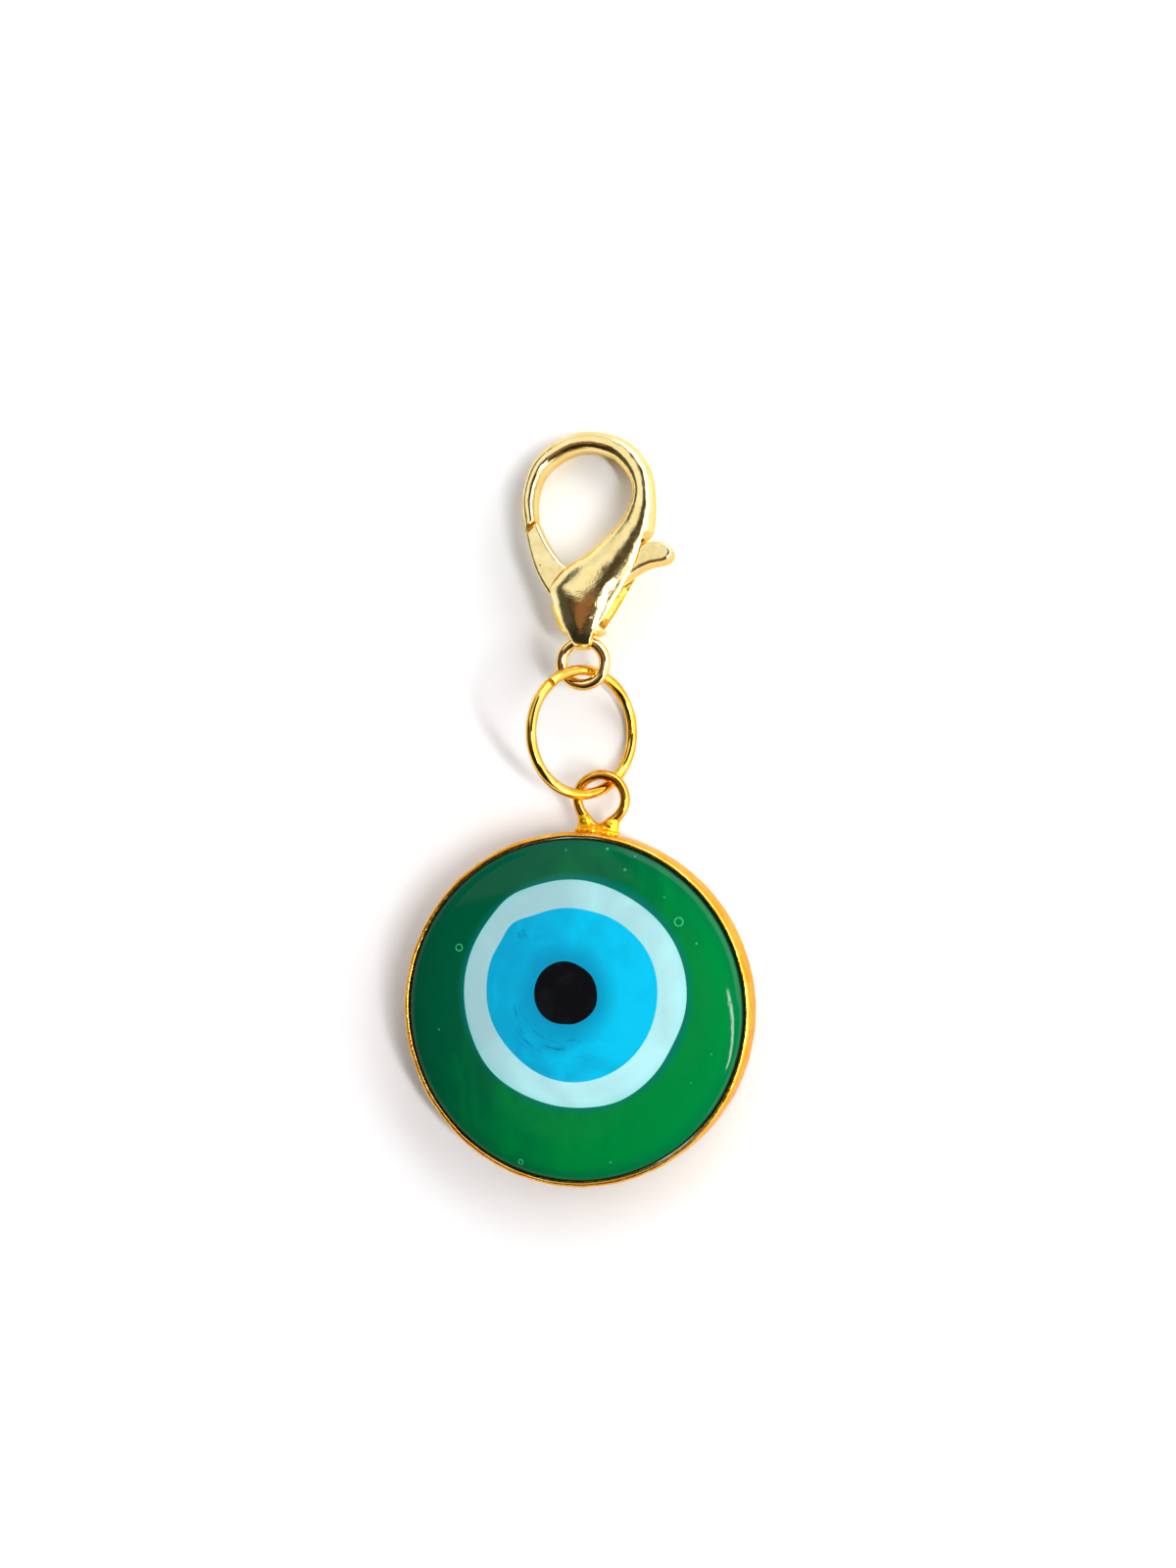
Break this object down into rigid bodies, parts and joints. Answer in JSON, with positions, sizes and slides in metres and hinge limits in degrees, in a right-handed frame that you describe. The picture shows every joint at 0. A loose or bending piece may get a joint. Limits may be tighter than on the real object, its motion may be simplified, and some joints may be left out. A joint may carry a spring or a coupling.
{
  "type": "evil eye charm",
  "caption": "Round glass evil eye in a metal strip, hung by two linked rings on a sprung lobster clasp.",
  "frame": {"origin": "middle of the bottom of the part's box, as it lies on its back", "axes": "+Y along the chain from the pendant to the clasp, +Z out of the front of the glass, +X to the right seen from the front"},
  "size_m": [0.03, 0.0642, 0.0088],
  "materials": {
    "clasp_gold": "pale gold plating on a smooth casting, polished",
    "ring_gold": "yellow gold plated wire, polished",
    "strip_gold": "orange gold plating over hand work, pitted",
    "spring_steel": "drawn spring wire",
    "green_glass": "translucent deep green glass, fire polished",
    "white_glass": "opaque bluish white glass",
    "blue_glass": "opaque light blue glass",
    "black_glass": "opaque black glass"
  },
  "bodies": {
    "clasp_body": {"clasp_body": "clasp_gold", "lever_pin": "clasp_gold", "lever_spring": "spring_steel"},
    "clasp_lever": {"clasp_lever": "clasp_gold"},
    "clasp_ring": {"clasp_ring": "ring_gold"},
    "jump_ring": {"jump_ring": "ring_gold"},
    "pendant": {"pendant_loop": "strip_gold", "loop_solder": "strip_gold", "bezel_strip": "strip_gold", "glass_base": "green_glass", "glass_white": "white_glass", "glass_blue": "blue_glass", "glass_pupil": "black_glass"}
  },
  "joints": [
    {"name": "lever_hinge", "type": "hinge", "parent": "clasp_body", "child": "clasp_lever", "pos_m": [0.00065, 0.01781, 0.00356], "axis": [0, -0.1736, -0.9848], "range_deg": [0, 25], "stiffness_Nm_per_rad": 0.01, "springref_deg": -10.03},
    {"name": "clasp_ring_fold", "type": "hinge", "parent": "clasp_body", "child": "clasp_ring", "pos_m": [0.00065, 0.01412, 0.00421], "axis": [-1, 0, 0], "range_deg": [0, 90]},
    {"name": "jump_ring_swing", "type": "hinge", "parent": "clasp_ring", "child": "jump_ring", "pos_m": [0.00065, 0.01226, 0.00421], "axis": [0, 0, 1], "range_deg": [-45, 45]},
    {"name": "pendant_swing", "type": "hinge", "parent": "jump_ring", "child": "pendant", "pos_m": [0.00195, 0.00076, 0.003], "axis": [0, 0, 1], "range_deg": [-50, 50]}
  ]
}
